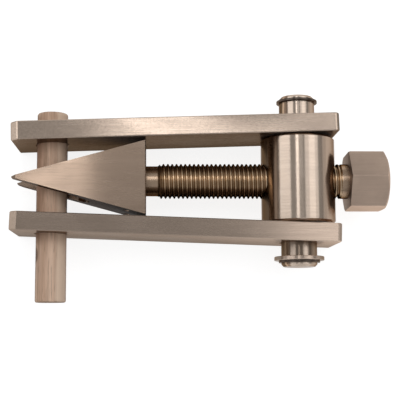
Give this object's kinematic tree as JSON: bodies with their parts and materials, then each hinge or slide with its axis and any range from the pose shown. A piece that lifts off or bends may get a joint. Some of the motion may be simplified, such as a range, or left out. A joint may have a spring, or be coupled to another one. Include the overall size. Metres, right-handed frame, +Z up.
{
  "type": "flange spreader",
  "caption": "Screw-driven wedge spreader for pipe flanges: two flat arms on a round trunnion nut, a jack screw that drives a forked wedge, and a wooden dowel through the arms.",
  "frame": {"origin": "middle of the footprint, on the surface that the tool lies on", "axes": "+X along the jack screw towards its hexagon head, +Y along the trunnion nut towards the neck without a washer, +Z up from the surface, across the arms' width"},
  "size_m": [0.2126, 0.118, 0.0424],
  "materials": {
    "turned_bronze": "polished turned",
    "ring_bronze": "satin",
    "washer_bronze": "satin",
    "upper_arm_bronze": "brushed",
    "lower_arm_bronze": "brushed",
    "screw_bronze": "satin machined",
    "wedge_bronze": "brushed",
    "pin_bronze": "satin",
    "dowel_wood": "plain sanded"
  },
  "bodies": {
    "trunnion": {"trunnion_nut": "turned_bronze", "upper_ring": "ring_bronze", "lower_ring": "ring_bronze", "support_washer": "washer_bronze"},
    "upper_arm": {"upper_arm": "upper_arm_bronze"},
    "lower_arm": {"lower_arm": "lower_arm_bronze"},
    "wedge": {"wedge": "wedge_bronze", "front_pin": "pin_bronze", "back_pin": "pin_bronze"},
    "screw": {"jack_screw": "screw_bronze"},
    "dowel": {"wooden_dowel": "dowel_wood"}
  },
  "joints": [
    {"name": "wedge_feed", "type": "slide", "parent": "trunnion", "child": "wedge", "axis": [1, 0, 0], "range_m": [-0.0065, 0.065]},
    {"name": "screw_turn", "type": "hinge", "parent": "wedge", "child": "screw", "pos_m": [0.05603, 0.0098, 0.0212], "axis": [1, 0, 0], "range_deg": [-936, 9360]},
    {"name": "upper_arm_slide", "type": "slide", "parent": "trunnion", "child": "upper_arm", "axis": [0, 1, 0], "range_m": [0, 0.0094]},
    {"name": "lower_arm_slide", "type": "slide", "parent": "trunnion", "child": "lower_arm", "axis": [0, -1, 0], "range_m": [0, 0.0069]},
    {"name": "dowel_slide", "type": "slide", "parent": "trunnion", "child": "dowel", "axis": [0, 1, 0], "range_m": [-0.075, 0.105]}
  ],
  "couplings": [
    {"joint": "screw_turn", "follows": "wedge_feed", "rad_per_m": 2513.3}
  ]
}
